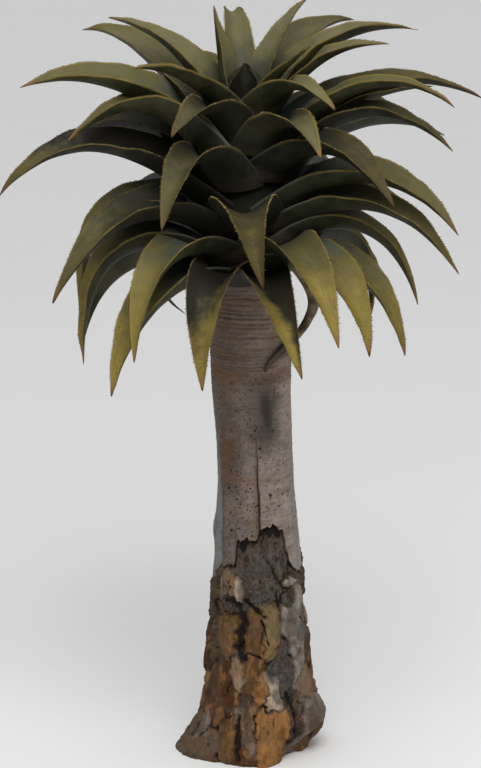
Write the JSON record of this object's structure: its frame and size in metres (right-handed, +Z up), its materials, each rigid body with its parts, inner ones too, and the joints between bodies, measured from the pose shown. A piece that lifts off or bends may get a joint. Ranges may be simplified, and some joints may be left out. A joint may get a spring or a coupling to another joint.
{
  "type": "kokerboom tree",
  "caption": "Young quiver tree: a thick pale trunk with a flared, flaking foot under a rosette of long, arching, channelled succulent leaves; rooted at a flat cut at ground level.",
  "frame": {"origin": "middle of the flat cut under the trunk at ground level", "axes": "+Z up along the trunk, -Y towards the picture's camera, +X to the right in the picture"},
  "size_m": [1.1383, 1.0449, 1.8255],
  "materials": {
    "bark": "rough",
    "young_leaf": "satin",
    "leaf": "satin",
    "dry_leaf": "rough"
  },
  "bodies": {
    "root": {"trunk": "bark", "leaf_heart_1": "young_leaf", "leaf_heart_2": "young_leaf", "leaf_heart_3": "young_leaf", "leaf_heart_4": "young_leaf", "leaf_heart_5": "young_leaf", "leaf_upper_1": "young_leaf", "leaf_upper_2": "young_leaf", "leaf_upper_3": "young_leaf", "leaf_upper_4": "young_leaf", "leaf_upper_5": "young_leaf", "leaf_upper_6": "young_leaf", "leaf_upper_7": "young_leaf", "leaf_upper_8": "young_leaf", "leaf_high_1": "leaf", "leaf_high_2": "leaf", "leaf_high_3": "leaf", "leaf_high_4": "leaf", "leaf_high_5": "leaf", "leaf_high_6": "leaf", "leaf_high_7": "leaf", "leaf_high_8": "leaf", "leaf_high_9": "leaf", "leaf_high_10": "leaf", "leaf_high_11": "leaf", "leaf_middle_1": "leaf", "leaf_middle_2": "leaf", "leaf_middle_3": "leaf", "leaf_middle_4": "leaf", "leaf_middle_5": "leaf", "leaf_middle_6": "leaf", "leaf_middle_7": "leaf", "leaf_middle_8": "leaf", "leaf_middle_9": "leaf", "leaf_middle_10": "leaf", "leaf_low_1": "leaf", "leaf_low_2": "leaf", "leaf_low_3": "leaf", "leaf_low_4": "leaf", "leaf_low_5": "leaf", "leaf_low_6": "leaf", "leaf_low_7": "leaf", "leaf_low_8": "leaf", "leaf_skirt_1": "leaf", "leaf_skirt_2": "leaf", "leaf_skirt_3": "leaf", "leaf_skirt_4": "leaf", "leaf_skirt_5": "leaf", "leaf_skirt_6": "leaf", "leaf_skirt_7": "leaf", "leaf_skirt_8": "leaf", "leaf_skirt_9": "leaf", "leaf_skirt_10": "leaf", "leaf_skirt_11": "leaf", "leaf_skirt_12": "leaf", "leaf_skirt_13": "leaf", "leaf_skirt_14": "leaf", "leaf_skirt_15": "leaf", "dry_curl": "dry_leaf", "dry_wisp": "dry_leaf"}
  },
  "joints": []
}
